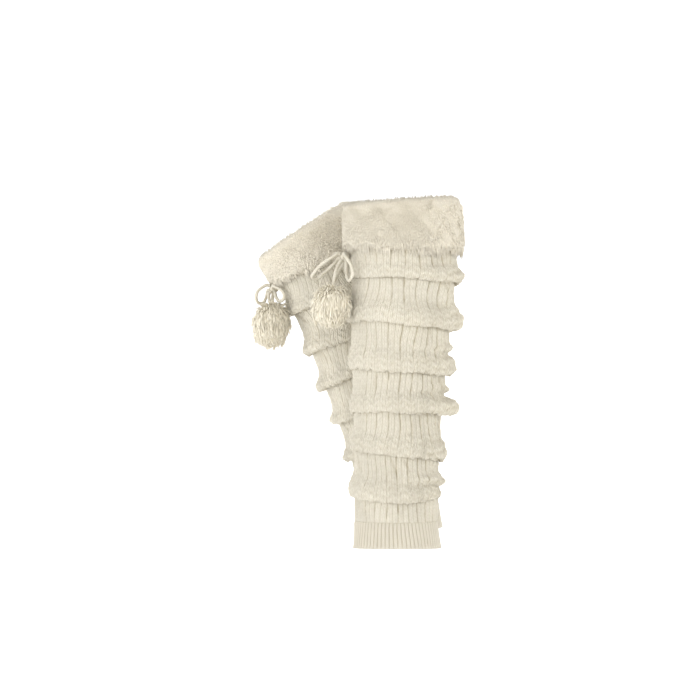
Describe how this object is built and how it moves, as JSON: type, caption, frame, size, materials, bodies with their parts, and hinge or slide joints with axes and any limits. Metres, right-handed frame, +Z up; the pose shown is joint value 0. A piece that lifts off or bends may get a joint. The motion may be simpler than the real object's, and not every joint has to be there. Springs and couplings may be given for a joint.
{
  "type": "pair of leg warmers",
  "caption": "Slouched cable-knit tubes that stack in soft rolls over the lower legs, each with a deep fur cuff, a ribbed hem and a pompom tie bow.",
  "frame": {"origin": "middle of the left warmer's top opening, where a worn warmer is held up", "axes": "+Z up along the left warmer, -X towards the front where the bows are tied, +X to the back, and +Y from the left warmer to the right one"},
  "size_m": [0.273, 0.2908, 0.4482],
  "materials": {
    "cream_knit": "cable knit, matt",
    "cream_fur": "short dense plush pile",
    "cream_yarn": "twisted and cut yarn"
  },
  "bodies": {
    "root": {"fur_cuff_left": "cream_fur", "knit_tube_left": "cream_knit", "rib_hem_left": "cream_knit", "tie_knot_left": "cream_yarn", "tie_loop_front_left": "cream_yarn", "tie_loop_side_left": "cream_yarn", "tie_end_near_left": "cream_yarn", "tie_end_far_left": "cream_yarn", "pompom_near_left": "cream_yarn", "pompom_far_left": "cream_yarn", "fur_cuff_right": "cream_fur", "knit_tube_right": "cream_knit", "rib_hem_right": "cream_knit", "tie_knot_right": "cream_yarn", "tie_loop_front_right": "cream_yarn", "tie_loop_side_right": "cream_yarn", "tie_end_near_right": "cream_yarn", "tie_end_far_right": "cream_yarn", "pompom_near_right": "cream_yarn", "pompom_far_right": "cream_yarn"}
  },
  "joints": []
}
